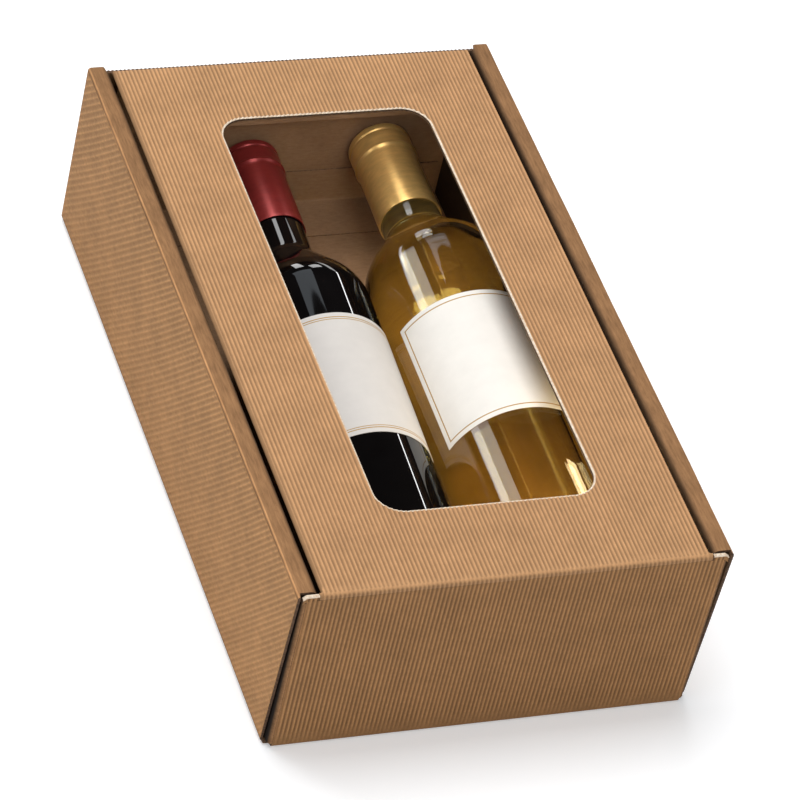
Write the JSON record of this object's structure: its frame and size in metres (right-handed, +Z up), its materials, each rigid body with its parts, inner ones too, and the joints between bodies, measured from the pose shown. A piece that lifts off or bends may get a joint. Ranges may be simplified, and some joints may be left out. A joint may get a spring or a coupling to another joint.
{
  "type": "two-bottle gift box",
  "caption": "Corrugated kraft gift box with a hinged windowed lid, holding a dark bottle and a clear bottle of white wine that lie side by side.",
  "frame": {"origin": "middle of the base, on the surface that the box lies on", "axes": "+X across the box, +Y along it from the hinged end to the necks of the bottles, +Z up through the lid"},
  "size_m": [0.19, 0.326, 0.09],
  "materials": {
    "kraft_board": "matt brown kraft corrugated board",
    "kraft_lid": "matt brown kraft corrugated board",
    "clear_glass": "clear polished glass",
    "white_wine": "clear golden wine",
    "gold_foil": "satin gold capsule foil",
    "cream_paper": "matt cream label paper",
    "dark_glass": "polished black glass",
    "crimson_foil": "satin crimson capsule foil",
    "off_white_paper": "matt off-white label paper"
  },
  "bodies": {
    "tray": {"tray": "kraft_board", "white_bottle": "clear_glass", "white_wine": "white_wine", "gold_capsule": "gold_foil", "white_label": "cream_paper", "red_bottle": "dark_glass", "red_capsule": "crimson_foil", "red_label": "off_white_paper"},
    "lid": {"lid": "kraft_lid"}
  },
  "joints": [
    {"name": "lid_hinge", "type": "hinge", "parent": "tray", "child": "lid", "pos_m": [0, -0.163, 0.09], "axis": [1, 0, 0], "range_deg": [0, 180]}
  ]
}
